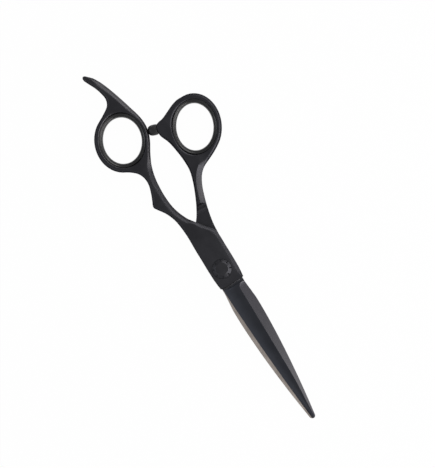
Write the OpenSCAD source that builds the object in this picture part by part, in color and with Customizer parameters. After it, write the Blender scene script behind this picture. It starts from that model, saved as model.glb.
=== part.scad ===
// Hair cutting shears, seven inch, with two oval finger rings and a fixed finger rest.
// The blades lie along +X from the pivot at the origin, the thumb ring lies towards +Y,
// and the closed shears rest with their back on z = 0.

/* [Blades] */
// Distance from the pivot to the blade tip
blade_len = 90.5; // [75:0.5:110]
// Width of the closed pair at the belly
blade_w = 14; // [12:0.1:14.6]
// Distance from the pivot to the widest place
belly_x = 25; // [20:0.5:32]
// Thickness at the ridge, by the pivot
ridge_t = 2.7; // [2:0.1:3.2]
// Thickness at the ridge, by the tip
tip_t = 1.1; // [0.8:0.1:1.6]
// Thickness left at the spine under its bevel
spine_t = 0.9; // [0.6:0.1:1.4]
// Depth of the hollow in the inner face
hollow = 0.15; // [0.05:0.05:0.3]
// Space between the two inner faces
blade_gap = 0.1; // [0.06:0.02:0.2]

/* [Pivot plates] */
// Thickness of each half at the pivot
half_t = 3.4; // [3:0.1:4.2]
// Width of the plates
plate_w = 14.8; // [13.8:0.1:17]
// Distance from the pivot to the end of the plates
plate_end = 9; // [8:0.5:11]
// Height of the blades' centre line over the pivot
mid_y = 0.7; // [0:0.1:1]

/* [Pivot screw] */
// Diameter of the screw head
head_d = 10; // [8:0.1:11]
// Thickness of the screw head
head_t = 1.3; // [1:0.1:1.6]
// Height that the head stands over the plate
head_proud = 0.5; // [0.3:0.1:0.8]
// Diameter of the plain disc in the head
face_d = 6.4; // [5:0.1:7]
// Count of key notches in the head's rim
notches = 8; // [4:1:12]
// Diameter of the bearing part of the screw
journal_d = 6; // [5:0.1:6.4]
// Diameter of the screw's thread
thread_d = 4.6; // [3.6:0.1:4.8]
// Diameter of the nut's flange
flange_d = 9; // [8.2:0.1:11]

/* [Finger ring] */
// Distance from the pivot to the ring's centre
finger_x = 83.3; // [76:0.1:92]
// Depth of the ring's centre under the pivot
finger_y = 9.3; // [8:0.1:11]
// Length of the finger hole
finger_len = 24; // [22:0.2:26]
// Width of the finger hole
finger_w = 20; // [18.4:0.2:21.4]
// Tilt of the finger hole
finger_tilt = 23; // [18:1:28]
// Wall of the ring at its two ends, insert included
finger_end_wall = 4.5; // [4:0.1:5.2]
// Length of the finger rest behind the ring
tang_len = 24.4; // [18:0.2:30]
// Thickness of the finger rest at its tip
tang_tip_t = 3.6; // [2.6:0.1:5]
// Depth of the knuckle under the shank
knuckle_h = 8.5; // [7:0.1:10]

/* [Thumb ring] */
// Distance that the thumb ring lies nearer to the pivot than the finger ring
ring_stagger = 13.4; // [11:0.1:16]
// Distance between the two rings, across the shears
ring_spread = 35.7; // [34.8:0.1:38]
// Length of the thumb hole
thumb_len = 24.4; // [22:0.2:26.4]
// Width of the thumb hole
thumb_w = 19.2; // [17.8:0.2:20.6]
// Tilt of the thumb hole
thumb_tilt = 27; // [22:1:32]
// Wall of the ring at its two ends, insert included
thumb_end_wall = 5.1; // [4:0.1:5.6]

/* [Rings and inserts] */
// Wall of a ring at its sides, insert included
ring_wall = 4.4; // [4:0.1:5.2]
// Wall of the soft insert at its waist
insert_wall = 1.3; // [1:0.1:1.6]

/* [Bumper] */
// Diameter of the bumper
bumper_d = 5.3; // [4:0.1:6]
// Diameter of the bumper's stud
stud_d = 2.4; // [1.8:0.1:2.6]
// Space between the bumper and the finger ring
bumper_gap = 0.15; // [0.1:0.05:0.4]

/* [Hidden] */
$fn = 64;
thick = 2 * half_t;
half_gap = blade_gap / 2;

// Edges of the handles: width seen from above, steepness at the flat top and at the bevel's foot,
// and how far the edge is a bevel over an upright wall and not a rounding
ring_edge = [0.46 * (ring_wall - insert_wall), 0, 30, 0];
finger_edge = [2.6, 12, 50, 1];
thumb_edge = [2.9, 36, 48, 1];
under_edge = [1.2, 15, 40, 0];
neck_edge = [1.6, 28, 34, 1];
plate_edge = [2, 14, 42, 1];
knuckle_edge = [1.4, 20, 40, 0];
rest_edge = [2.4, 14, 48, 1];
web_edge = [1.4, 10, 40, 0];
tip_edge = [0.8, 8, 40, 0];
sharp_edge = [0.4, 40, 40, 0];

// Rounding of a ring's hole, and what the webs beside it add to that
hole_edge = 0.41 * (ring_wall - insert_wall);
web_rounding = 0.9;

// Rounding steps from the middle of an edge to its top, and the length of one facet
edge_steps = 4;
facet = 1.6;
hole_steps = 48;

// Clearances of the fits
run_clear = 0.05;
press_clear = 0.02;
insert_clear = 0.08;
head_clear = 0.15;
face_clear = 0.02;

// Pivot stack, from the blade washer up to the head and down to the nut
blade_washer_t = 0.4;
blade_washer_d = head_d - 0.6;
friction_t = 0.4;
spring_h = 0.4;
spring_t = 0.25;
stack_d = head_d - 0.4;
head_top = thick + head_proud;
head_z = head_top - head_t;
spring_z = head_z - face_clear - spring_h;
friction_z = spring_z - face_clear - friction_t;
floor_z = friction_z - face_clear;
nut_d = thread_d + 2.4;
flange_t = 0.8;
nut_top = half_t - blade_washer_t / 2 - 2 * face_clear;
nut_floor = 0.3;
screw_end = nut_floor + 0.2;

// Recess where one half runs over the other, with the radius that its cutter leaves
recess_x = -30;
recess_r = 5;

// Rings as centre, half length, half width, tilt, end wall, offset of the outer edge and bearings
// of the two webs beside the hole
finger_ring = [
    [-finger_x, -finger_y], finger_len / 2, finger_w / 2, -finger_tilt, finger_end_wall, [0, -0.2],
    [33, 187]
];
thumb_ring = [
    [ring_stagger - finger_x, ring_spread - finger_y], thumb_len / 2, thumb_w / 2, -thumb_tilt,
    thumb_end_wall, [-0.1, 0], [-20, 250]
];

// Plain geometry
function mix(a, b, t) = a + (b - a) * t;
function unit(v) = v / norm(v);
function left_of(v) = [-v[1], v[0]];
function flat(p) = [p[0], p[1]];
function turn(p, a) = [p[0] * cos(a) - p[1] * sin(a), p[0] * sin(a) + p[1] * cos(a)];

// Point a share of the way from a to b and some way to the left of that line, with its edge rounding
function along(a, b, s) = let (p = mix(a, b, s[0]) + s[1] * left_of(unit(b - a))) concat(p, s[2]);

// Point on a ring's outer edge, and on its hole let out by some depth
function rim_point(ring, a) =
    ring[0] + ring[5] + turn([(ring[1] + ring[4]) * cos(a), (ring[2] + ring_wall) * sin(a)], ring[3]);
function hole_point(ring, depth, a) =
    ring[0] + turn([ring[1] * cos(a), ring[2] * sin(a)]
        + depth * unit([cos(a) / ring[1], sin(a) / ring[2]]), ring[3]);
function rim_arc(ring, from, to, steps) =
    [for (i = [0:steps]) concat(rim_point(ring, mix(from, to, i / steps)), ring_edge)];

// Way in from the outline and height over the middle on an edge, by its step from the middle. The
// rounding is part of an oval that the flat top cuts off at the edge's steepness. The bevel falls
// from the flat top ever steeper to its foot, where the upright wall starts.
function rounding(width, steep, step) =
    let (
        cut = 2 * atan(sqrt(max(0.04, 1 - 2 * width / half_t * tan(steep)))),
        a = width / (1 - cos(cut)),
        b = half_t / sin(cut),
        lean = mix(90, steep, step / edge_steps),
        t = step == 0 ? 0 : step == edge_steps ? cut : atan2(b, a * tan(lean))
    )
    [a * (1 - cos(t)), b * sin(t)];
function bevel(width, steep, foot, step) =
    let (
        x = width * max(0, step - 1) / (edge_steps - 1),
        left = width - x,
        fall = left * (tan(steep) + (tan(foot) - tan(steep)) * left / width / 2)
    )
    [x, step == 0 ? 0 : half_t - fall];
function edge_step(edge, step) =
    let (
        k = abs(step),
        share = min(1, max(0, edge[3])),
        p = mix(rounding(edge[0], edge[1], k), bevel(edge[0], edge[1], edge[2], k), share)
    )
    [p[0], sign(step) * p[1]];

// Width of the rounding of a ring's hole, by the bearing in the hole
function near_web(ring, a) =
    max([for (w = ring[6]) let (c = cos(a - w)) c > 0 ? c ^ 6 : 0]);
function hole_rounding(ring, a) = hole_edge + web_rounding * near_web(ring, a);

// Smooth curve through control points, in facets of even length
function reach(p, q) = norm(flat(q) - flat(p));
function facets(p, i) = max(1, round(reach(p[i], p[i + 1]) / facet));
function slope(p, i) =
    let (
        a = i > 0 ? reach(p[i - 1], p[i]) : 0,
        b = i < len(p) - 1 ? reach(p[i], p[i + 1]) : 0
    )
    i == 0 ? (p[1] - p[0]) / b :
    i == len(p) - 1 ? (p[i] - p[i - 1]) / a :
    ((p[i] - p[i - 1]) * b / a + (p[i + 1] - p[i]) * a / b) / (a + b);
function smooth(p) = concat([
    for (i = [0:len(p) - 2])
        let (b = reach(p[i], p[i + 1]), m = slope(p, i) * b, n = slope(p, i + 1) * b, k = facets(p, i))
            for (j = [0:k - 1])
                let (t = j / k)
                    (2 * t ^ 3 - 3 * t ^ 2 + 1) * p[i] + (t ^ 3 - 2 * t ^ 2 + t) * m
                    + (3 * t ^ 2 - 2 * t ^ 3) * p[i + 1] + (t ^ 3 - t ^ 2) * n
], [p[len(p) - 1]]);

// Place of a control point among the points of its smooth curve
function place(p, c) = c == 0 ? 0 : facets(p, c - 1) + place(p, c - 1);

// Triangles between two rows of points, kept level by the rows' keys
function zip(a, ka, b, kb) =
    let (n = len(a) - 1, m = len(b) - 1)
    [
        for (
            i = 0, j = 0;
            i + j < n + m;
            go = j == m || (i < n && ka[i] + ka[i + 1] <= kb[j] + kb[j + 1]),
            i = go ? i + 1 : i,
            j = go ? j : j + 1
        )
            j == m || (i < n && ka[i] + ka[i + 1] <= kb[j] + kb[j + 1])
                ? [a[i], a[i + 1], b[j]]
                : [a[i], b[j + 1], b[j]]
    ];
function count(from, to) = from <= to ? [for (i = [from:to]) i] : [for (i = [from:-1:to]) i];
function backs(rows) = [for (t = rows) [t[2], t[1], t[0]]];

// Bearing of a point about a centre, counted up from a start
function bearing(p, c, start) =
    let (a = atan2(p[1] - c[1], p[0] - c[0])) a < start - 1e-6 ? bearing_up(a, start) : a;
function bearing_up(a, start) = a < start - 1e-6 ? bearing_up(a + 360, start) : a;

// Handle with rounded edges and an oval hole. The controls give its outline from the blade end
// of its upper edge round to the blade end of its lower edge. The marks are the controls where
// the shank's upper edge meets the ring, where the finger rest starts, where it turns back and
// where it ends, and where the shank's lower edge leaves the ring.
module rounded_slab(controls, ring, marks, thinning) {
    rim = smooth(controls);
    n = len(rim);
    m = hole_steps;
    levels = 2 * edge_steps;
    at = [for (c = marks) place(controls, c)];
    root = [flat(rim[at[1]]), flat(rim[at[3]])];
    past = left_of(unit(root[0] - root[1]));
    rim_in = [for (i = [0:n - 1]) left_of(unit(flat(rim[min(i + 1, n - 1)]) - flat(rim[max(i - 1, 0)])))];
    function edge_point(p, d, r) =
        let (q = flat(p) + d * r[0], thin = 1 - thinning * max(0, (q - root[0]) * past))
        [q[0], q[1], half_t + r[1] * thin];
    points = concat(
        [
            for (k = [0:levels], i = [0:n - 1])
                let (r = rim[i])
                    edge_point(r, rim_in[i], edge_step([r[2], r[3], r[4], r[5]], k - edge_steps))
        ],
        [
            for (k = [0:levels], j = [0:m - 1])
                let (
                    a = 360 * j / m,
                    p = hole_point(ring, insert_wall, a),
                    q = hole_point(ring, insert_wall + 1, a)
                )
                edge_point(p, q - p, edge_step([hole_rounding(ring, a), 0, 0, 0], k - edge_steps))
        ]
    );
    hole_base = (levels + 1) * n;
    walls = [
        for (k = [0:levels - 1], i = [0:n - 1])
            let (a = k * n + i, b = k * n + (i + 1) % n)
                each [[a, a + n, b + n], [a, b + n, b]]
    ];
    bore = [
        for (k = [0:levels - 1], j = [0:m - 1])
            let (a = hole_base + k * m + j, b = hole_base + k * m + (j + 1) % m)
                each [[b, b + m, a + m], [b, a + m, a]]
    ];
    upper = count(0, at[0]);
    lower = count(n - 1, at[4]);
    shank = zip(upper, [for (i = upper) -rim[i][0]], lower, [for (i = lower) -rim[i][0]]);
    rest_up = count(at[1], at[2]);
    rest_low = count(at[3], at[2] + 1);
    rest = at[1] == at[3] ? [] :
        zip(rest_up, [for (i = rest_up) -rim[i][0]], rest_low, [for (i = rest_low) -rim[i][0]]);
    outer = at[1] == at[3] ? count(at[0], at[4]) : concat(count(at[0], at[1]), count(at[3], at[4]));
    start = atan2(rim[at[0]][1] - ring[0][1], rim[at[0]][0] - ring[0][0]);
    outer_key = [for (i = outer) bearing(rim[i], ring[0], start)];
    first = round(m * (start - ring[3]) / 360) % m;
    holes = [for (j = [0:m]) (first + j + m) % m];
    hole_key = [
        for (j = [0:m])
            let (p = hole_point(ring, insert_wall, 360 * (first + j) / m))
                bearing(p, ring[0], start - 20 + (j > m / 2 ? 180 : 0))
    ];
    annulus = zip(
        concat(outer, [at[0]]), concat(outer_key, [start + 360]),
        [for (j = holes) n + j], hole_key
    );
    flats = concat(backs(shank), backs(rest), backs(annulus));
    function on_level(k, v) = v < n ? k * n + v : hole_base + k * m + v - n;
    top = [for (t = flats) [for (v = t) on_level(levels, v)]];
    bottom = [for (t = backs(flats)) [for (v = t) on_level(0, v)]];
    polyhedron(points, concat(walls, bore, top, bottom), convexity = 10);
}

// Edges of a plate beside the blades' spine, as distance from the pivot, height over the blades'
// centre line and rounding
spine_side = [
    [plate_end, plate_w / 2 - 0.7, sharp_edge],
    [plate_end - 2, plate_w / 2 - 0.4, web_edge],
    [plate_end - 4, plate_w / 2 - 0.2, plate_edge],
    [0, plate_w / 2, plate_edge],
    [-10, plate_w / 2, plate_edge],
    [-15.5, plate_w / 2, plate_edge],
    [-18.4, plate_w / 2 - 0.2, plate_edge],
    [-20.3, plate_w / 2 - 1.2, plate_edge],
    [-22.4, plate_w / 2 - 3, plate_edge],
    [-25, plate_w / 2 - 5.2, plate_edge]
];
// Edges beside the cutting edge
edge_side = [
    [plate_end - 0.2, plate_w / 2 - 0.6, sharp_edge],
    [0, plate_w / 2, sharp_edge],
    [-8, plate_w / 2, sharp_edge],
    [-16, plate_w / 2, sharp_edge]
];
function plate_side(row, side) = [for (p = row) concat(p[0], mid_y + side * p[1], p[2])];
function back_row(row) = [for (i = count(len(row) - 1, 0)) row[i]];

// Outline of the finger half: shank, ring, finger rest, ring, knuckle and shank
finger_neck = [-28, mid_y - 3.9];
finger_joint = rim_point(finger_ring, 33);
finger_upper = [
    [0, -3.7, neck_edge], [0.07, -2.1, finger_edge], [0.15, -0.95, finger_edge],
    [0.3, 0.3, finger_edge], [0.46, 0.3, finger_edge], [0.61, -0.45, finger_edge],
    [0.755, -1.75, finger_edge], [0.9, -3.95, finger_edge], [1.04, -7.4, ring_edge]
];
finger_lower = [
    [1.01, 6.8, ring_edge], [0.92, 3.8, under_edge], [0.84, 2.85, under_edge], [0.76, 3, under_edge],
    [0.62, 5.15, under_edge], [0.53, knuckle_h - 1.35, knuckle_edge],
    [0.475, knuckle_h - 0.1, tip_edge], [0.45, knuckle_h - 0.1, tip_edge],
    [0.4, knuckle_h - 1.1, knuckle_edge], [0.32, 5.65, under_edge], [0.16, 3.8, under_edge],
    [0, 3.6, web_edge], [-0.16, 4.1, sharp_edge]
];
rest_root = rim_point(finger_ring, 172);
rest_tip = rest_root + tang_len * [cos(198.6), sin(198.6)];
rest_upper = [
    [-0.07, -3.6, rest_edge], [0.19, -3.85, rest_edge], [0.45, -3.9, rest_edge],
    [0.72, -3.5, rest_edge], [0.89, -2.65, web_edge], [0.98, -1.55, tip_edge]
];
rest_end = [
    [1.035, -0.95, tip_edge], [1.06, -0.2, tip_edge], [1.055, 0.6, tip_edge], [1.02, 1.2, tip_edge]
];
rest_lower = [
    [0.92, 1.2, tip_edge], [0.78, 0.75, web_edge], [0.64, 0.5, web_edge], [0.51, 0.7, web_edge],
    [0.39, 1.3, web_edge], [0.285, 3.25, web_edge], [0.22, 7.8, web_edge], [0.195, 10.9, ring_edge]
];
finger_controls = concat(
    plate_side(spine_side, 1),
    [for (s = finger_upper) along(finger_neck, finger_joint, s)],
    rim_arc(finger_ring, 85, 124, 3),
    [for (s = concat(rest_upper, rest_end, rest_lower)) along(rest_root, rest_tip, s)],
    rim_arc(finger_ring, 237, 345, 9),
    [for (s = finger_lower) along(finger_neck, finger_joint, s)],
    back_row(plate_side(edge_side, -1))
);
finger_marks = let (
    a = len(spine_side) + len(finger_upper) - 2,
    b = a + 7,
    c = b + len(rest_upper),
    d = b + len(rest_upper) + len(rest_end) + len(rest_lower) - 4,
    e = d + 14
) [a, b, c, d, e];

// Bumper's seat, cut flat on the thumb ring, and the place it meets on the finger ring
stop_point = rim_point(finger_ring, 100);
seat_point = thumb_ring[0] - [9, thumb_w / 2 + ring_wall + 3.1];
bumper_axis = unit(stop_point - seat_point);
bumper_len = norm(stop_point - seat_point) - bumper_gap;
boss_w = bumper_d - 0.3;
boss_ends = [for (s = [1, -1]) seat_point + s * boss_w / 2 * left_of(bumper_axis) * -1];

// Outline of the thumb half: shank, ring, bumper boss, web and shank
thumb_neck = [-28, mid_y + 4.7];
thumb_joint = rim_point(thumb_ring, 0);
thumb_upper = [
    [-0.13, -5.4, web_edge], [-0.04, -4.55, thumb_edge], [0.165, -3.05, thumb_edge],
    [0.37, -1.95, thumb_edge], [0.59, -1.35, thumb_edge], [0.72, -1.6, thumb_edge],
    [0.86, -3, thumb_edge], [1, -6.3, ring_edge], [1.07, -8, ring_edge]
];
thumb_lower = [
    [1.01, 7, ring_edge], [0.83, 4.5, under_edge], [0.62, 3.3, under_edge], [0.4, 2.8, under_edge],
    [0.18, 2.75, under_edge], [-0.06, 3.55, under_edge]
];
thumb_web = [[0.36, 0.8, web_edge], [0.68, 0.65, web_edge]];
web_end = flat(along(thumb_neck, thumb_joint, thumb_lower[0]));
boss_side = [
    [0.1, -0.6, ring_edge], [0.32, -0.8, web_edge], [0.55, -0.25, web_edge], [0.79, 0.25, tip_edge]
];
arc_end = rim_point(thumb_ring, 205);
thumb_controls = concat(
    plate_side(edge_side, 1),
    [for (s = thumb_upper) along(thumb_neck, thumb_joint, s)],
    rim_arc(thumb_ring, 50, 205, 12),
    [for (s = boss_side) along(arc_end, boss_ends[0], s)],
    [for (p = boss_ends) concat(p, sharp_edge)],
    [for (s = thumb_web) along(boss_ends[1], web_end, s)],
    [for (s = thumb_lower) along(thumb_neck, thumb_joint, s)],
    back_row(plate_side(spine_side, -1))
);
thumb_marks = let (
    a = len(edge_side) + len(thumb_upper) - 3,
    e = a + 15 + len(boss_side) + 2 + len(thumb_web) + 2
) [a, a, a, a, e];

// Outline of a blade by distance from the pivot, and the blades' slight lean to the finger side
blade_lean = 0.3;
tip_r = 1.3;
heel_r = 1.6;
bevel_x = plate_end + heel_r;
bevel_r = 2.5;
function spine_y(x) =
    let (
        s = max(0, x - belly_x) / (blade_len - belly_x),
        u = min(1, max(0, (x - bevel_x) / (belly_x - 2 - bevel_x)))
    )
    mid_y + blade_w / 2 * (1 - 0.81 * s ^ 1.72 - 0.0625 * (1 + cos(180 * u)));
function edge_y(x) =
    let (t = (x - bevel_x) / (blade_len - bevel_x))
    mid_y - mix(blade_w / 2 - 1.15, 0.62, t) - 2.3 * t * (1 - t);
function ridge_line(x) = min(mid_y + 2.25, mix(edge_y(x), spine_y(x), 0.69));
function ridge_y(x) =
    let (u = min(1, max(0, (x - bevel_x) / bevel_r)))
    mix(ridge_line(x), spine_y(x), 0.96 * (1 - sqrt(1 - (1 - u) ^ 2)));
function ridge_h(x) = mix(ridge_t, tip_t, x / blade_len);
function spine_h(x) =
    let (r = ridge_h(x), u = (spine_y(x) - ridge_y(x)) / (spine_y(x) - ridge_line(x)))
    mix(r, min(spine_t, 0.8 * r), u);
function hollow_h(x) =
    hollow * min(1, max(0, (x - plate_end - 2) / 6)) * min(1, max(0, (blade_len - x) / 30));
function narrow(x) =
    let (u = max(0, (x - blade_len + tip_r) / tip_r)) sqrt(1 - min(u, 0.97) ^ 2);
// Share of the way up to the plate that the grinding leaves at the blade's heel
function heel(x) =
    let (u = min(1, max(0.0001, (x - plate_end) / heel_r))) 0.95 * (1 - sqrt(1 - (1 - u) ^ 2));
function blade_ring(x) =
    let (
        e = edge_y(x), s = spine_y(x), r = ridge_y(x), h = ridge_h(x),
        f = narrow(x), c = mid_y, top = half_t - half_gap - 0.03, k = heel(x)
    )
    [
        for (p = concat(
            [[e, 0]],
            [
                for (w = [0.05, 0.14, 0.28, 0.5, 0.75, 1])
                    [mix(e, r, w), mix(h * (1 - (1 - w) ^ 1.6), top, k)]
            ],
            [[s, mix(spine_h(x), top, k)], [s, 0]],
            [for (w = [0.8, 0.5, 0.2]) [mix(e, s, w), hollow_h(x) * 4 * w * (1 - w)]]
        ))
            [x, c + (p[0] - c) * f, p[1] * mix(0.7, 1, f)]
    ];
blade_stations = concat(
    [plate_end - 1],
    [for (a = [90:-15:15]) plate_end + heel_r * (1 - sin(a))],
    [bevel_x - 0.02],
    [for (a = [10:16:90]) bevel_x + bevel_r * (1 - cos(a))],
    [for (i = [1:18]) mix(bevel_x + bevel_r, blade_len - tip_r, i / 18)],
    [for (a = [20, 40, 60, 76]) blade_len - tip_r + tip_r * sin(a)]
);

// Blade of the finger half, with its inner face on z = 0
module blade() {
    rings = [for (x = blade_stations) blade_ring(x)];
    m = len(rings[0]);
    n = len(rings);
    points = [for (r = rings) each r];
    sides = [
        for (i = [0:n - 2], j = [0:m - 1])
            let (a = i * m + j, b = i * m + (j + 1) % m)
                each [[a, b, b + m], [a, b + m, a + m]]
    ];
    ridge = 6;
    heel = [for (j = [1:m - 2]) [ridge, (ridge + j + 1) % m, (ridge + j) % m]];
    tip = [for (t = heel) [for (v = [t[0], t[2], t[1]]) (n - 1) * m + v]];
    polyhedron(points, concat(sides, heel, tip), convexity = 6);
}

// Turns a part over about the blades' centre line
module turned_over() {
    translate([0, mid_y, half_t])
        rotate([180, 0, 0])
            translate([0, -mid_y, -half_t])
                children();
}

// Space cut from a handle so that the other half can run over it
module recess() {
    sweep = acos(1 - thick / 2 / recess_r);
    profile = concat(
        [[plate_end + 20, 0], [recess_x, 0]],
        [for (i = [1:7]) let (a = sweep * i / 6) recess_r * [-sin(a), 1 - cos(a)] + [recess_x, 0]],
        [[plate_end + 20, thick]]
    );
    translate([0, 60, half_t - half_gap])
        rotate([90, 0, 0])
            linear_extrude(120)
                polygon(profile);
}

// Socket that a washer takes in an inner face, sunk from the middle of the gap
module washer_socket() {
    deep = blade_washer_t / 2 + face_clear;
    translate([0, 0, half_t - deep])
        cylinder(d = blade_washer_d + 2 * head_clear, h = 2 * deep);
}

// Finger half: forged handle with ring, rest and blade
module finger_blade() {
    color([0.16, 0.16, 0.18])
        difference() {
            union() {
                difference() {
                    rounded_slab(
                        finger_controls, finger_ring, finger_marks, (1 - tang_tip_t / thick) / tang_len
                    );
                    turned_over()
                        recess();
                }
                translate([0, 0, half_t + half_gap])
                    rotate([0, 0, -blade_lean])
                        blade();
            }
            washer_socket();
            cylinder(d = journal_d + 2 * run_clear, h = thick + 1);
            translate([0, 0, floor_z])
                cylinder(d = head_d + 2 * head_clear, h = thick);
        }
}

// Thumb half: forged handle with ring, bumper boss and blade
module thumb_blade() {
    color([0.2, 0.2, 0.22])
        difference() {
            union() {
                difference() {
                    rounded_slab(thumb_controls, thumb_ring, thumb_marks, 0);
                    recess();
                }
                rotate([0, 0, -blade_lean])
                    turned_over()
                        translate([0, 0, half_t + half_gap])
                            blade();
            }
            washer_socket();
            translate([0, 0, -1])
                cylinder(d = nut_d + 2 * press_clear, h = thick);
            translate([0, 0, -1])
                cylinder(d = flange_d + 2 * press_clear, h = 1 + flange_t + face_clear);
            bumper_place() {
                cylinder(d = bumper_d + 1, h = bumper_len);
                translate([0, 0, -stud_in - 0.3])
                    cylinder(d = stud_d + 2 * press_clear, h = stud_in + 1);
            }
        }
}

// Soft insert of a ring, with lips that lie over the ring's rounded hole
lip_turn = 68;
module insert(ring) {
    section = concat(
        [
            for (i = [-4:4])
                let (a = lip_turn * i / 4)
                    [insert_wall - insert_clear + hole_edge * (1 - cos(a)), half_t * sin(a)]
        ],
        [
            for (i = [0:6])
                let (a = 90 - 30 * i)
                    [(insert_wall + 0.1) * (1 - cos(a)), (half_t - 0.12) * sin(a)]
        ]
    );
    m = len(section);
    n = hole_steps;
    points = [
        for (i = [0:n - 1], s = section)
            let (p = hole_point(ring, s[0], 360 * i / n)) [p[0], p[1], half_t + s[1]]
    ];
    faces = [
        for (i = [0:n - 1], j = [0:m - 1])
            let (
                a = i * m + j, b = i * m + (j + 1) % m,
                c = (i + 1) % n * m + (j + 1) % m, d = (i + 1) % n * m + j
            )
            each [[a, b, c], [a, c, d]]
    ];
    polyhedron(points, faces, convexity = 6);
}

module finger_insert() {
    color([0.07, 0.07, 0.08])
        insert(finger_ring);
}

module thumb_insert() {
    color([0.07, 0.07, 0.08])
        insert(thumb_ring);
}

// Places a part on the bumper's seat, with its axis towards the finger ring
stud_in = 4.5;
stud_out = 2.4;
module bumper_place() {
    translate([seat_point[0], seat_point[1], half_t])
        rotate([0, 0, atan2(bumper_axis[1], bumper_axis[0])])
            rotate([0, 90, 0])
                children();
}

// Rubber stop that swells over its seat and tapers to a blunt end
module bumper() {
    r = bumper_d / 2;
    color([0.06, 0.06, 0.06])
        bumper_place()
            difference() {
                rotate_extrude()
                    polygon([
                        [0, face_clear], [0.93 * r, face_clear], [r, 0.14 * bumper_len],
                        [r, 0.45 * bumper_len], [0.95 * r, 0.64 * bumper_len], [0.84 * r, 0.8 * bumper_len],
                        [0.66 * r, 0.92 * bumper_len], [0.4 * r, 0.985 * bumper_len], [0, bumper_len]
                    ]);
                translate([0, 0, -1])
                    cylinder(d = stud_d + 2 * press_clear, h = 1 + stud_out + 0.2);
            }
}

// Stud that holds the bumper in its boss
module bumper_stud() {
    color([0.55, 0.55, 0.57])
        bumper_place()
            translate([0, 0, -stud_in])
                cylinder(d = stud_d, h = stud_in + stud_out);
}

// Screw that joins the halves, with a notched head for its key
module pivot_screw() {
    slope = 0.5;
    color([0.3, 0.3, 0.32])
        difference() {
            union() {
                translate([0, 0, head_z])
                    rotate_extrude()
                        polygon([
                            [0, 0], [head_d / 2, 0], [head_d / 2, head_t - slope - 0.15],
                            [face_d / 2 + 0.25, head_t - 0.15], [face_d / 2, head_t], [0, head_t]
                        ]);
                translate([0, 0, nut_top + face_clear])
                    cylinder(d = journal_d, h = head_z - nut_top);
                translate([0, 0, screw_end])
                    cylinder(d = thread_d, h = head_z - screw_end);
            }
            for (i = [0:notches - 1])
                rotate([0, 0, 360 * (i + 0.5) / notches])
                    translate([face_d / 2 + 0.55, -0.35, head_top - slope - 0.45])
                        cube([head_d / 2, 0.7, 2]);
        }
}

// Nylon washer that the head drags on
module friction_washer() {
    color([0.85, 0.84, 0.8])
        translate([0, 0, friction_z])
            difference() {
                cylinder(d = stack_d, h = friction_t);
                translate([0, 0, -1])
                    cylinder(d = journal_d + 4 * run_clear, h = friction_t + 2);
            }
}

// Sprung disc that keeps the tension
module disc_spring() {
    inner = journal_d / 2 + 2 * run_clear;
    color([0.5, 0.48, 0.4])
        translate([0, 0, spring_z])
            rotate_extrude()
                polygon([
                    [inner, spring_h - spring_t], [stack_d / 2, 0],
                    [stack_d / 2, spring_t], [inner, spring_h]
                ]);
}

// Thin washer that the two halves turn on
module blade_washer() {
    color([0.85, 0.84, 0.8])
        translate([0, 0, half_t - blade_washer_t / 2])
            difference() {
                cylinder(d = blade_washer_d, h = blade_washer_t);
                translate([0, 0, -1])
                    cylinder(d = journal_d + 4 * run_clear, h = blade_washer_t + 2);
            }
}

// Blind nut pressed into the back of the thumb half, flush with it
module pivot_nut() {
    color([0.45, 0.45, 0.47])
        difference() {
            union() {
                cylinder(d = flange_d, h = flange_t);
                cylinder(d = nut_d, h = nut_top);
            }
            translate([0, 0, nut_floor])
                cylinder(d = thread_d + 2 * run_clear, h = thick);
        }
}

finger_blade();
thumb_blade();
finger_insert();
thumb_insert();
bumper();
bumper_stud();
pivot_screw();
friction_washer();
disc_spring();
blade_washer();
pivot_nut();
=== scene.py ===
import math

import bmesh
import bpy
from mathutils import Matrix, Vector


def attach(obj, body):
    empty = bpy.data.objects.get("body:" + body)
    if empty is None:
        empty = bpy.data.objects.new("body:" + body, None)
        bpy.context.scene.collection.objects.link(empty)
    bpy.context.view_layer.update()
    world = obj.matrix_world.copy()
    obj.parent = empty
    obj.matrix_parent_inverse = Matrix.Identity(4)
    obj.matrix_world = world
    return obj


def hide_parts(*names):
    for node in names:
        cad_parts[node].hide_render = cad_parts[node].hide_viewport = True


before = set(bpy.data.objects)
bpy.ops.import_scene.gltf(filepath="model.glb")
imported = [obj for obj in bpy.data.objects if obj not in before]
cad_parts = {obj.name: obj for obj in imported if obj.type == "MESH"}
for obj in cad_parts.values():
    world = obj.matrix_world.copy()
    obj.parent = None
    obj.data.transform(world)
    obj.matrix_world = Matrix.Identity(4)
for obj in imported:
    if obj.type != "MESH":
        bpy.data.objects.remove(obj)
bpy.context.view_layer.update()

mm = 0.001

# Finger half. One forging of stainless steel with the front blade, the pivot plate, the shank,
# the finger ring and the curved finger rest. It is ground and coated black, and the last grinding
# leaves only the blade's inner face bare. Its bevels that face the lamps get a painted highlight.
middle_z = 3.4 * mm
plate_end_x = 9 * mm
step_past_plate = 1.0 * mm
recess_end_x = -33 * mm
# Span along X and slopes of the finger half's bevels that get a painted highlight where they face the lamps
lit_bevel_finger_x = (-125 * mm, -62 * mm)
lit_bevel_finger_slope = (0.98, 0.80)

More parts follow.
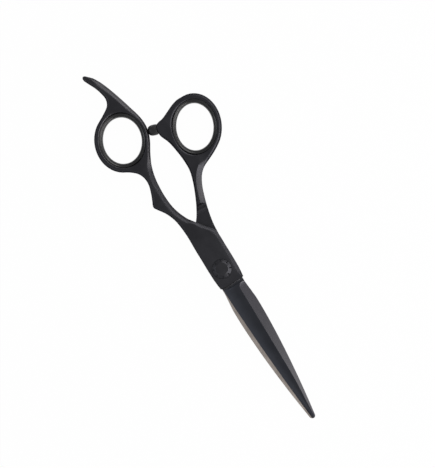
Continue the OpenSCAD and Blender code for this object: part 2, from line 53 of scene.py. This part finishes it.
# Darkest and lightest tone of each finish
coat_tones = (0.050, 0.050, 0.056, 1), (0.060, 0.060, 0.067, 1)
# Painted light: the plate's flats are a shade lighter than the coat towards the pivot plate
plate_light_tones = (0.060, 0.060, 0.067, 1), (0.070, 0.070, 0.078, 1)
# Painted highlight: bevels that face the lamps are painted lighter
lit_bevel_tones = (0.084, 0.082, 0.087, 1), (0.098, 0.096, 0.102, 1)
blade_tones = (0.058, 0.061, 0.072, 1), (0.068, 0.071, 0.083, 1)
# Painted light on the spine bevel: darker at the heel, lighter towards the tip
spine_heel_shade_tones = (0.046, 0.045, 0.052, 1), (0.056, 0.055, 0.063, 1)
spine_tip_light_tones = (0.078, 0.077, 0.083, 1), (0.094, 0.093, 0.100, 1)
# Painted light on the wall of the step at the plate's end, which lies in shade
step_light_tones = (0.078, 0.078, 0.084, 1), (0.092, 0.092, 0.098, 1)
# Painted shade: a darker stripe on the slope at the recess's end
recess_shade_tones = (0.022, 0.022, 0.025, 1), (0.028, 0.028, 0.031, 1)
bare_tones = (0.53, 0.47, 0.425, 1), (0.65, 0.58, 0.53, 1)
coat_rim = (0.25, 0.25, 0.26, 1)

# Least and greatest roughness of each finish, and its grain
coat_roughness = (0.40, 0.46)
lit_bevel_roughness = (0.36, 0.42)
recess_end_roughness = (0.44, 0.50)
ground_roughness = (0.32, 0.40)
bare_roughness = (0.28, 0.38)
blasted = {"size": 0.16 * mm, "height": 0.001 * mm}
ground_coated = {"size": 0.5 * mm, "height": 0.001 * mm, "stretch": (6, 0.35, 1)}
ground_bare = {"size": 0.5 * mm, "height": 0.003 * mm, "stretch": (6, 0.35, 1)}


def add(tree, kind, inputs=None, **settings):
    """Adds a node with its settings, and sets or links its inputs."""
    made = tree.nodes.new(kind)
    for key, value in settings.items():
        setattr(made, key, value)
    for key, value in (inputs or {}).items():
        if isinstance(value, bpy.types.NodeSocket):
            tree.links.new(value, made.inputs[key])
        else:
            made.inputs[key].default_value = value
    return made


def math_node(tree, operation, *values):
    """A Math node's value."""
    return add(tree, "ShaderNodeMath", dict(enumerate(values)), operation=operation).outputs["Value"]


def apart(tree, first, second):
    """How far apart two values are."""
    return math_node(tree, "ABSOLUTE", math_node(tree, "SUBTRACT", first, second))


def ramp(tree, value, low, high):
    """A value's share of the way from low to high."""
    sockets = {"Value": value, "From Min": low, "From Max": high}
    return add(tree, "ShaderNodeMapRange", sockets).outputs["Result"]


def blend(tree, share, first, second, data_type="RGBA"):
    """A mix of two colours, vectors or values."""
    a, b, out = {"FLOAT": (2, 3, 0), "VECTOR": (4, 5, 1), "RGBA": (6, 7, 2)}[data_type]
    sockets = {0: share, a: first, b: second}
    return add(tree, "ShaderNodeMix", sockets, data_type=data_type).outputs[out]


def tree_with_sockets(name, kind, inputs, outputs):
    """A node tree with named inputs and outputs, and its two end nodes."""
    tree = bpy.data.node_groups.new(name, kind)
    for socket_name, socket_kind, value in inputs:
        socket = tree.interface.new_socket(socket_name, in_out="INPUT", socket_type=socket_kind)
        if value is not None:
            socket.default_value = value
    for socket_name, socket_kind in outputs:
        tree.interface.new_socket(socket_name, in_out="OUTPUT", socket_type=socket_kind)
    return tree, tree.nodes.new("NodeGroupInput").outputs, tree.nodes.new("NodeGroupOutput").inputs


# Smooth surfaces between the edges that forging leaves sharp, and the blade's keener ground edges
forged_surface, given, result = tree_with_sockets(
    "forged_surface",
    "GeometryNodeTree",
    [
        ("Geometry", "NodeSocketGeometry", None),
        ("Merge Distance", "NodeSocketFloat", 0.002 * mm),
        ("Forged Angle", "NodeSocketFloat", math.radians(38)),
        ("Ground Angle", "NodeSocketFloat", math.radians(9)),
        ("Ground From", "NodeSocketFloat", 11.5 * mm),
    ],
    [("Geometry", "NodeSocketGeometry")],
)
joined = add(forged_surface, "GeometryNodeMergeByDistance", {
    "Geometry": given["Geometry"], "Distance": given["Merge Distance"]})
position = add(forged_surface, "GeometryNodeInputPosition").outputs["Position"]
spot = add(forged_surface, "ShaderNodeSeparateXYZ", {0: position}).outputs
ground = add(forged_surface, "FunctionNodeCompare", {
    "A": spot["X"], "B": given["Ground From"]}, data_type="FLOAT", operation="GREATER_THAN")
limit = add(forged_surface, "GeometryNodeSwitch", {
    "Switch": ground.outputs["Result"], "False": given["Forged Angle"], "True": given["Ground Angle"],
}, input_type="FLOAT")
gentle = add(forged_surface, "FunctionNodeCompare", {
    "A": add(forged_surface, "GeometryNodeInputMeshEdgeAngle").outputs["Unsigned Angle"],
    "B": limit.outputs["Output"],
}, data_type="FLOAT", operation="LESS_THAN")
edges = add(forged_surface, "GeometryNodeSetShadeSmooth", {
    "Geometry": joined.outputs["Geometry"], "Shade Smooth": gentle.outputs["Result"]}, domain="EDGE")
faces = add(forged_surface, "GeometryNodeSetShadeSmooth", {
    "Geometry": edges.outputs["Geometry"], "Shade Smooth": True}, domain="FACE")
forged_surface.links.new(faces.outputs["Geometry"], result["Geometry"])


def finish_surface(node, material):
    """Gives a CAD node its smooth surface and its material."""
    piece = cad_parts[node]
    piece.modifiers.new("forged surface", "NODES").node_group = forged_surface
    weighted = piece.modifiers.new("weighted normals", "WEIGHTED_NORMAL")
    weighted.mode = "FACE_AREA"
    weighted.keep_sharp = True
    for place in piece.material_slots:
        place.material = material


# Fine grain of a blasted, ground, turned or moulded surface, over broad faint clouds
clouds_per_metre = 160.0
fine_share = 0.5
tone_range = (0.5, 1.0)
grain, given, result = tree_with_sockets(
    "grain",
    "ShaderNodeTree",
    [
        ("Size", "NodeSocketFloat", None),
        ("Stretch", "NodeSocketVector", None),
        ("Dark", "NodeSocketColor", None),
        ("Light", "NodeSocketColor", None),
        ("Smoothest", "NodeSocketFloat", None),
        ("Roughest", "NodeSocketFloat", None),
        ("Height", "NodeSocketFloat", None),
    ],
    [("Colour", "NodeSocketColor"), ("Roughness", "NodeSocketFloat"), ("Normal", "NodeSocketVector")],
)
place = add(grain, "ShaderNodeTexCoord").outputs["Object"]
drawn = add(grain, "ShaderNodeVectorMath", {0: place, 1: given["Stretch"]}, operation="MULTIPLY")
fine = add(grain, "ShaderNodeTexNoise", {
    "Vector": drawn.outputs["Vector"],
    "Scale": math_node(grain, "DIVIDE", 1.0, given["Size"]),
    "Detail": 3.0,
    "Roughness": 0.6,
})
broad = add(grain, "ShaderNodeTexNoise", {"Vector": place, "Scale": clouds_per_metre, "Detail": 2.0})
tone = math_node(grain, "MULTIPLY_ADD", fine.outputs["Fac"], fine_share, broad.outputs["Fac"])
share = ramp(grain, tone, *tone_range)
relief = add(grain, "ShaderNodeBump", {
    "Strength": 1.0, "Distance": given["Height"], "Height": fine.outputs["Fac"]})
grain.links.new(blend(grain, share, given["Dark"], given["Light"]), result["Colour"])
grain.links.new(blend(grain, share, given["Smoothest"], given["Roughest"], "FLOAT"), result["Roughness"])
grain.links.new(relief.outputs["Normal"], result["Normal"])

# Where a half's plate flats get painted light, its bevels facing the lamps a painted highlight, its recess
# end painted shade and the step at the plate's end painted light, where it is a blade, how far along the
# blade it is for the spine bevel's painted light, and where the blade's inner face is bare
zone_names = ("Plate", "Lit Bevel", "Recess Shade", "Blade", "Spine", "Along", "Step", "Bare")
ground_faces, given, result = tree_with_sockets(
    "ground_faces",
    "ShaderNodeTree",
    [
        ("Inner Side", "NodeSocketFloat", None),
        ("Lit Bevel From", "NodeSocketFloat", None),
        ("Lit Bevel To", "NodeSocketFloat", None),
        ("Lit Bevel From Slope", "NodeSocketFloat", None),
        ("Lit Bevel To Slope", "NodeSocketFloat", None),
        ("Plate End", "NodeSocketFloat", plate_end_x),
        ("Recess End", "NodeSocketFloat", recess_end_x),
        ("Middle", "NodeSocketFloat", middle_z),
    ],
    [(zone, "NodeSocketFloat") for zone in zone_names],
)
place = add(ground_faces, "ShaderNodeTexCoord").outputs
spot = add(ground_faces, "ShaderNodeSeparateXYZ", {0: place["Object"]}).outputs
facing = add(ground_faces, "ShaderNodeSeparateXYZ", {0: place["Normal"]}).outputs
upright = math_node(ground_faces, "ABSOLUTE", facing["Z"])
inward = math_node(ground_faces, "MULTIPLY", facing["Z"], given["Inner Side"])
spineward = math_node(ground_faces, "MULTIPLY", facing["Y"], given["Inner Side"])
past_plate = math_node(ground_faces, "SUBTRACT", spot["X"], given["Plate End"])
past_polish_start = math_node(ground_faces, "SUBTRACT", spot["X"], given["Lit Bevel From"])
before_polish_end = math_node(ground_faces, "SUBTRACT", given["Lit Bevel To"], spot["X"])
from_middle = apart(ground_faces, spot["Z"], given["Middle"])
from_recess_end = apart(ground_faces, spot["X"], given["Recess End"])
from_step = apart(ground_faces, past_plate, step_past_plate)

# Each zone lies where all its values have passed from the first limit to the second
zone_limits = {
    # Painted light on the plate's flats, rising towards the pivot plate
    "Plate": [(past_plate, -32 * mm, -14 * mm), (upright, 0.97, 0.995)],
    # Painted highlight on bevels that face the lamps, with a lower roughness
    "Lit Bevel": [
        (upright, given["Lit Bevel From Slope"], given["Lit Bevel To Slope"]), (facing["Y"], -0.1, 0.2),
        (before_polish_end, 0.0, 4 * mm), (past_polish_start, 0.0, 8 * mm),
    ],
    # Painted shade on the slope at the recess's end
    "Recess Shade": [(facing["X"], 0.3, 0.42), (from_recess_end, 4.5 * mm, 4 * mm)],
    "Blade": [(past_plate, 0.1 * mm, 1.4 * mm)],
    "Spine": [(spineward, -0.03, -0.08)],
    # How far along the blade the spine bevel's painted light has risen, falling back near the tip
    "Along": [(past_plate, 0.0, 60 * mm), (past_plate, 80 * mm, 72 * mm)],
    # Painted light on the step at the plate's end, where it faces +X
    "Step": [(facing["X"], 0.45, 0.75), (from_step, 1.6 * mm, 1.4 * mm)],
    "Bare": [(inward, 0.8, 0.95), (from_middle, 0.5 * mm, 0.4 * mm), (past_plate, 0.6 * mm, 1.0 * mm)],
}
for zone, limits in zone_limits.items():
    share, *others = [ramp(ground_faces, value, first, second) for value, first, second in limits]
    for other in others:
        share = math_node(ground_faces, "MULTIPLY", share, other)
    ground_faces.links.new(share, result[zone])


def shader_material(name):
    """A material with one Principled shader: the material, its node tree and the shader's inputs."""
    material = bpy.data.materials.new(name)
    material.use_nodes = True
    tree = material.node_tree
    tree.nodes.clear()
    shader = add(tree, "ShaderNodeBsdfPrincipled")
    add(tree, "ShaderNodeOutputMaterial", {"Surface": shader.outputs["BSDF"]})
    return material, tree, shader.inputs


def grain_outputs(tree, tones, roughness, size, height, stretch=(1, 1, 1)):
    """The colour, roughness and normal of one surface's grain."""
    return add(tree, "ShaderNodeGroup", {
        "Size": size, "Stretch": stretch, "Dark": tones[0], "Light": tones[1],
        "Smoothest": roughness[0], "Roughest": roughness[1], "Height": height,
    }, node_tree=grain).outputs


finish_sockets = (
    ("Colour", "RGBA", "Base Color"), ("Roughness", "FLOAT", "Roughness"), ("Normal", "VECTOR", "Normal"))


def half_material(name, inner_side, lit_bevel_x, lit_bevel_slope):
    """Black coated steel with a ground blade, bare on the inner face, with painted light and shade."""
    material, tree, shader = shader_material(name)
    handle = grain_outputs(tree, coat_tones, coat_roughness, **blasted)
    plate = grain_outputs(tree, plate_light_tones, coat_roughness, **blasted)
    bevel = grain_outputs(tree, lit_bevel_tones, lit_bevel_roughness, **blasted)
    recess = grain_outputs(tree, recess_shade_tones, recess_end_roughness, **blasted)
    step_light = grain_outputs(tree, step_light_tones, coat_roughness, **blasted)
    blade = grain_outputs(tree, blade_tones, ground_roughness, **ground_coated)
    heel = grain_outputs(tree, spine_heel_shade_tones, ground_roughness, **ground_coated)
    spine = grain_outputs(tree, spine_tip_light_tones, ground_roughness, **ground_coated)
    steel = grain_outputs(tree, bare_tones, bare_roughness, **ground_bare)
    zones = add(tree, "ShaderNodeGroup", {
        "Inner Side": inner_side,
        "Lit Bevel From": lit_bevel_x[0],
        "Lit Bevel To": lit_bevel_x[1],
        "Lit Bevel From Slope": lit_bevel_slope[0],
        "Lit Bevel To Slope": lit_bevel_slope[1],
    }, node_tree=ground_faces).outputs
    for key, data_type, socket in finish_sockets:
        # Painted light on the plate's flats
        plain = blend(tree, zones["Plate"], handle[key], plate[key], data_type)
        # Painted highlight on the bevels that face the lamps
        highlighted = blend(tree, zones["Lit Bevel"], plain, bevel[key], data_type)
        # Painted shade at the recess's end
        forged = blend(tree, zones["Recess Shade"], highlighted, recess[key], data_type)
        # Painted light on the spine bevel, from darker at the heel to lighter towards the tip
        bevelled = blend(tree, zones["Along"], heel[key], spine[key], data_type)
        ground = blend(tree, zones["Spine"], blade[key], bevelled, data_type)
        covered = blend(tree, zones["Blade"], forged, ground, data_type)
        # Painted light on the shaded step at the plate's end
        coated = blend(tree, zones["Step"], covered, step_light[key], data_type)
        tree.links.new(blend(tree, zones["Bare"], coated, steel[key], data_type), shader[socket])
    shader["Metallic"].default_value = 1.0
    shader["Specular Tint"].default_value = coat_rim
    return material


finish_surface("finger_blade", half_material(
    "finger_half_steel", -1.0, lit_bevel_finger_x, lit_bevel_finger_slope))

# Thumb half. A second forging with the rear blade, the plate under the finger half's, the shank,
# the thumb ring and the boss that carries the bumper. It has the same coating, and its bare
# inner face shows as a strip beside the front blade.
# Span along X and slopes of the thumb half's bevels that get a painted highlight where they face the lamps
lit_bevel_thumb_x = (-49 * mm, -33 * mm)
lit_bevel_thumb_slope = (0.86, 0.70)
finish_surface("thumb_blade", half_material(
    "thumb_half_steel", 1.0, lit_bevel_thumb_x, lit_bevel_thumb_slope))

# Soft inserts. Two moulded rubber grommets are pressed into the rings' oval holes. Each bulges
# into its hole, and its lips roll over the hole's rounded edges and leave a fine groove there.
half_t = 3.4 * mm
hole_wall = 1.22 * mm
hole_edge = 1.27 * mm
seated_angles = (60, 48, 32, 16, 0)
slope = [
    (0, 0), (0, 0.7), (0.03, 1.15), (0.11, 1.55), (0.25, 1.92), (0.45, 2.25), (0.7, 2.54), (1.0, 2.79),
    (1.3, 2.97), (1.55, 3.09), (1.75, 3.15), (1.9, 3.16), (2.0, 3.1),
]
holes = {
    "finger_insert": ("finger_half", (-83.3, -9.3), 12, 10, -23),
    "thumb_insert": ("thumb_half", (-69.9, 26.4), 12.2, 9.6, -27),
}
insert_steps = 160
insert_tones = (0.0080, 0.0080, 0.0086, 1), (0.0110, 0.0110, 0.0118, 1)
insert_roughness = (0.27, 0.33)
rubber_sheen = 0.6

# Sweep of a section round an oval
grommet, given, result = tree_with_sockets(
    "grommet",
    "GeometryNodeTree",
    [
        ("Geometry", "NodeSocketGeometry", None),
        ("Section", "NodeSocketObject", None),
        ("Centre", "NodeSocketVector", None),
        ("Oval", "NodeSocketVector", None),
        ("Tilt", "NodeSocketVector", None),
        ("Steps", "NodeSocketInt", None),
        ("Rubber", "NodeSocketMaterial", None),
    ],
    [("Geometry", "NodeSocketGeometry")],
)
circle = add(grommet, "GeometryNodeCurvePrimitiveCircle", {"Resolution": given["Steps"], "Radius": 1.0})
oval = add(grommet, "GeometryNodeTransform", {
    "Geometry": circle.outputs["Curve"], "Scale": given["Oval"], "Rotation": given["Tilt"],
    "Translation": given["Centre"],
})
level = add(grommet, "GeometryNodeSetCurveNormal", {"Curve": oval.outputs["Geometry"]}, mode="Z_UP")
section = add(grommet, "GeometryNodeObjectInfo", {"Object": given["Section"]})
swept = add(grommet, "GeometryNodeCurveToMesh", {
    "Curve": level.outputs["Curve"], "Profile Curve": section.outputs["Geometry"]})
smooth = add(grommet, "GeometryNodeSetShadeSmooth", {"Geometry": swept.outputs["Mesh"]})
real = add(grommet, "GeometryNodeRealizeInstances", {"Geometry": smooth.outputs["Geometry"]})
rubbery = add(grommet, "GeometryNodeSetMaterial", {
    "Geometry": real.outputs["Geometry"], "Material": given["Rubber"]})
grommet.links.new(rubbery.outputs["Geometry"], result["Geometry"])


def insert_section():
    """An insert's section, depth from the hole along X and height along Y, run so that faces point out."""
    rolled = [(depth * mm, height * mm) for depth, height in slope]
    seated = [(hole_wall + hole_edge * (1 - math.cos(a)), half_t * math.sin(a))
              for a in map(math.radians, seated_angles)]
    upper = rolled + seated
    outline = upper + [(depth, -height) for depth, height in reversed(upper[1:-1])]
    curve = bpy.data.curves.new("insert_section", "CURVE")
    curve.dimensions = "3D"
    spline = curve.splines.new("POLY")
    spline.points.add(len(outline) - 1)
    for point, (depth, height) in zip(spline.points, reversed(outline)):
        point.co = (depth, height, 0, 1)
    spline.use_cyclic_u = True
    return bpy.data.objects.new("insert_section", curve)


def rubber_material(name, tones, roughness):
    """Moulded black rubber."""
    material, tree, shader = shader_material(name)
    skin = grain_outputs(tree, tones, roughness, size=0.3 * mm, height=0.003 * mm)
    for key, _, socket in finish_sockets:
        tree.links.new(skin[key], shader[socket])
    shader["Specular IOR Level"].default_value = rubber_sheen
    return material


def built_by(tree, name, values):
    """An object with the plain mesh that a geometry tree makes."""
    maker = bpy.data.objects.new(name, bpy.data.meshes.new(name))
    bpy.context.scene.collection.objects.link(maker)
    modifier = maker.modifiers.new(name, "NODES")
    modifier.node_group = tree
    for socket in tree.interface.items_tree:
        if socket.name in values:
            modifier[socket.identifier] = values[socket.name]
    bpy.context.view_layer.update()
    found = maker.evaluated_get(bpy.context.evaluated_depsgraph_get())
    mesh = bpy.data.meshes.new_from_object(found)
    maker.modifiers.remove(modifier)
    maker.data = mesh
    mesh.name = name
    return maker


insert_rubber = rubber_material("insert_rubber", insert_tones, insert_roughness)
profile = insert_section()
bpy.context.scene.collection.objects.link(profile)
for node, (body, centre, half_length, half_width, tilt) in holes.items():
    soft_insert = built_by(grommet, node + "_grommet", {
        "Section": profile,
        "Centre": (centre[0] * mm, centre[1] * mm, middle_z),
        "Oval": (half_length * mm, half_width * mm, 1.0),
        "Tilt": (0, 0, math.radians(tilt)),
        "Steps": insert_steps,
        "Rubber": insert_rubber,
    })
    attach(soft_insert, body)
    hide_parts(node)
bpy.data.objects.remove(profile)

# Bumper. A moulded rubber stub on the thumb ring's boss, pushed over a steel stud. It meets the
# finger ring and quiets the shears as they close, and its nose is pressed flat by the ring.
bumper_seat = Vector((-78.9, 9.3, 3.4)) * mm
bumper_stop = Vector((-80.4, 4.67, 3.4)) * mm
pressed_gap = 0.03 * mm
bumper_bore = [(0, 2.6), (1.23, 2.6), (1.23, 0.02)]
bumper_skin = [
    (2.3, 0.02), (2.56, 0.1), (2.71, 0.36), (2.79, 0.8), (2.82, 1.4), (2.82, 2.0), (2.78, 2.8), (2.68, 3.45),
    (2.48, 4.0), (2.14, 4.48), (1.66, 4.82), (1.1, 5.02), (0.55, 5.1), (0, 5.12),
]
bumper_turns = 72
bumper_tones = (0.0080, 0.0080, 0.0084, 1), (0.0120, 0.0120, 0.0125, 1)
bumper_roughness = (0.40, 0.48)
stud_tones = (0.46, 0.46, 0.47, 1), (0.56, 0.56, 0.57, 1)
stud_roughness = (0.25, 0.35)

built = bmesh.new()
rings = []
for radius, height in bumper_bore + bumper_skin:
    count = bumper_turns if radius else 1
    turns = [2 * math.pi * i / count for i in range(count)]
    rings.append([
        built.verts.new(Vector((radius * math.cos(a), radius * math.sin(a), height)) * mm) for a in turns])
for low, high in zip(rings, rings[1:]):
    for i in range(bumper_turns):
        lower = [low[k % len(low)] for k in (i, i + 1)]
        upper = [high[k % len(high)] for k in (i + 1, i)]
        built.faces.new(list(dict.fromkeys(lower + upper)))
facing_stop = (bumper_stop - bumper_seat).to_track_quat("Z", "Y").to_matrix().to_4x4()
bmesh.ops.transform(built, matrix=Matrix.Translation(bumper_seat) @ facing_stop, verts=built.verts)
towards_ring = (bumper_stop - bumper_seat).normalized()
for point in built.verts:
    height = towards_ring.dot(point.co - bumper_seat)
    foot = point.co - height * towards_ring
    met, contact, _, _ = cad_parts["finger_blade"].ray_cast(foot, towards_ring)
    if met:
        point.co = foot + min(height, (contact - foot).length - pressed_gap) * towards_ring
bmesh.ops.recalc_face_normals(built, faces=built.faces)
stub = bpy.data.meshes.new("rubber_bumper")
built.to_mesh(stub)
built.free()
stub.shade_smooth()
stub.materials.append(rubber_material("bumper_rubber", bumper_tones, bumper_roughness))
bumper = bpy.data.objects.new("rubber_bumper", stub)
bpy.context.scene.collection.objects.link(bumper)
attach(bumper, "thumb_half")
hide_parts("bumper")


def turned_material(name, tones, roughness, metallic):
    """A small turned, rolled or moulded piece's material."""
    material, tree, shader = shader_material(name)
    skin = grain_outputs(tree, tones, roughness, size=0.2 * mm, height=0.002 * mm)
    for key, _, socket in finish_sockets:
        tree.links.new(skin[key], shader[socket])
    shader["Metallic"].default_value = metallic
    return material


finish_surface("bumper_stud", turned_material("stud_steel", stud_tones, stud_roughness, 1.0))

# Pivot. A turned screw with a flat notched head joins the halves through a blind nut at the
# back. A sprung disc and nylon washers lie under the head and between the plates.
screw_face = 3.2 * mm
face_edge = 0.02 * mm
face_tones = (0.072, 0.072, 0.079, 1), (0.084, 0.084, 0.092, 1)
face_roughness = (0.30, 0.38)
turned_roughness = (0.34, 0.42)
spring_tones = (0.36, 0.34, 0.3, 1), (0.46, 0.44, 0.39, 1)
spring_roughness = (0.3, 0.4)
nylon_tones = (0.70, 0.69, 0.64, 1), (0.80, 0.79, 0.74, 1)
nylon_roughness = (0.45, 0.55)


def screw_material():
    """Black coated steel, smoother and a shade lighter on the head's plain disc."""
    material, tree, shader = shader_material("screw_coat")
    # The rim has the same painted light as the plate's flats
    rim = grain_outputs(tree, plate_light_tones, turned_roughness, **blasted)
    disc = grain_outputs(tree, face_tones, face_roughness, **blasted)
    place = add(tree, "ShaderNodeTexCoord").outputs["Object"]
    spot = add(tree, "ShaderNodeSeparateXYZ", {0: place}).outputs
    flat = add(tree, "ShaderNodeCombineXYZ", {"X": spot["X"], "Y": spot["Y"]})
    radius = add(tree, "ShaderNodeVectorMath", {0: flat.outputs["Vector"]}, operation="LENGTH")
    inside = ramp(tree, radius.outputs["Value"], screw_face + face_edge, screw_face - face_edge)
    for key, data_type, socket in finish_sockets:
        tree.links.new(blend(tree, inside, rim[key], disc[key], data_type), shader[socket])
    shader["Metallic"].default_value = 1.0
    shader["Specular Tint"].default_value = coat_rim
    return material


nylon = turned_material("nylon", nylon_tones, nylon_roughness, 0.0)
for node, material in (
    ("pivot_screw", screw_material()),
    ("pivot_nut", turned_material("nut_coat", coat_tones, turned_roughness, 1.0)),
    ("friction_washer", nylon),
    ("blade_washer", nylon),
    ("disc_spring", turned_material("spring_steel", spring_tones, spring_roughness, 1.0)),
):
    finish_surface(node, material)

# Studio. A white table under softboxes on the shears' thumb side, two of them above and two low,
# with two fills on the finger side, and the camera straight above, turned to the shears' slant.
photo_size = (435, 468)
pivot_px = Vector((221.9, 268.8))
tip_px = Vector((313.3, 418.2))
blade_length = 90.5 * mm
lens = 150
sensor = 36
table_reach = 3.0
table_drop = 0.1 * mm
table_grey = (0.85, 0.85, 0.85, 1)
table_white_seen = 0.985
table_white_mirrored = 0.7
sky_grey = (0.32, 0.32, 0.325, 1)
white = (1, 1, 1, 1)
warm = (1, 0.985, 0.975)
cool = (0.9, 0.95, 1)
lamps_aim = Vector((-15 * mm, 5 * mm, 0))

built = bmesh.new()
bmesh.ops.create_grid(built, x_segments=1, y_segments=1, size=table_reach)
bmesh.ops.translate(built, verts=built.verts, vec=(0, 0, -table_drop))
floor_mesh = bpy.data.meshes.new("table")
built.to_mesh(floor_mesh)
built.free()
floor_white = bpy.data.materials.new("table_white")
floor_white.use_nodes = True
tree = floor_white.node_tree
tree.nodes.clear()
rays = add(tree, "ShaderNodeLightPath").outputs
seen = math_node(tree, "MAXIMUM", rays["Is Camera Ray"], rays["Is Transmission Ray"])
mirrored = math_node(tree, "MULTIPLY", rays["Is Glossy Ray"], table_white_mirrored)
share = math_node(tree, "MAXIMUM", math_node(tree, "MULTIPLY", seen, table_white_seen), mirrored)
matt = add(tree, "ShaderNodeBsdfDiffuse", {"Color": table_grey}).outputs["BSDF"]
plain_white = add(tree, "ShaderNodeEmission", {"Color": white, "Strength": 1.0}).outputs["Emission"]
surface = add(tree, "ShaderNodeMixShader", {0: share, 1: matt, 2: plain_white})
add(tree, "ShaderNodeOutputMaterial", {"Surface": surface.outputs["Shader"]})
floor_mesh.materials.append(floor_white)
floor = bpy.data.objects.new("table", floor_mesh)
bpy.context.scene.collection.objects.link(floor)

world = bpy.data.worlds.new("studio")
bpy.context.scene.world = world
world.use_nodes = True
tree = world.node_tree
tree.nodes.clear()
rays = add(tree, "ShaderNodeLightPath").outputs
sky = add(tree, "ShaderNodeBackground", {
    "Color": blend(tree, rays["Is Camera Ray"], sky_grey, white), "Strength": 1.0})
add(tree, "ShaderNodeOutputWorld", {"Surface": sky.outputs["Background"]})

for name, bearing, from_zenith, distance, width, height, radiance, tint in (
    ("key_softbox", 50, 42, 0.48, 0.40, 0.22, 2.3, warm),
    ("rear_softbox", 123, 55, 0.78, 0.45, 0.28, 2.9, warm),
    ("low_softbox", 30, 84, 1.0, 1.30, 0.45, 4.4, warm),
    ("side_softbox", 92, 86, 1.0, 0.80, 0.40, 2.0, warm),
    ("rear_fill", -121, 55, 0.79, 0.25, 0.25, 2.5, cool),
    ("front_fill", -74, 52, 0.74, 0.50, 0.25, 0.6, cool),
):
    lamp = bpy.data.lights.new(name, "AREA")
    lamp.shape = "RECTANGLE"
    lamp.size = width
    lamp.size_y = height
    lamp.energy = math.pi * width * height * radiance
    lamp.color = tint
    slant = math.radians(from_zenith)
    away = Matrix.Rotation(math.radians(bearing), 3, "Z") @ Vector((math.sin(slant), 0, math.cos(slant)))
    lit = bpy.data.objects.new(name, lamp)
    lit.location = lamps_aim + distance * away
    lit.rotation_euler = (-away).to_track_quat("-Z", "Y").to_euler()
    bpy.context.scene.collection.objects.link(lit)

to_tip = (tip_px - pivot_px).normalized()
across = Vector((to_tip.y, -to_tip.x))
scale = blade_length / (tip_px - pivot_px).length
off_pivot = Vector(photo_size) / 2 - pivot_px
camera_height = scale * max(photo_size) * lens / sensor
camera_data = bpy.data.cameras.new("camera")
camera_data.lens = lens
camera_data.sensor_width = sensor
camera = bpy.data.objects.new("camera", camera_data)
camera.matrix_world = Matrix((
    (to_tip.x, -to_tip.y, 0, off_pivot.dot(to_tip) * scale),
    (across.x, -across.y, 0, off_pivot.dot(across) * scale),
    (0, 0, 1, middle_z + camera_height),
    (0, 0, 0, 1),
))
bpy.context.scene.collection.objects.link(camera)
bpy.context.scene.camera = camera
bpy.context.scene.view_settings.view_transform = "Standard"
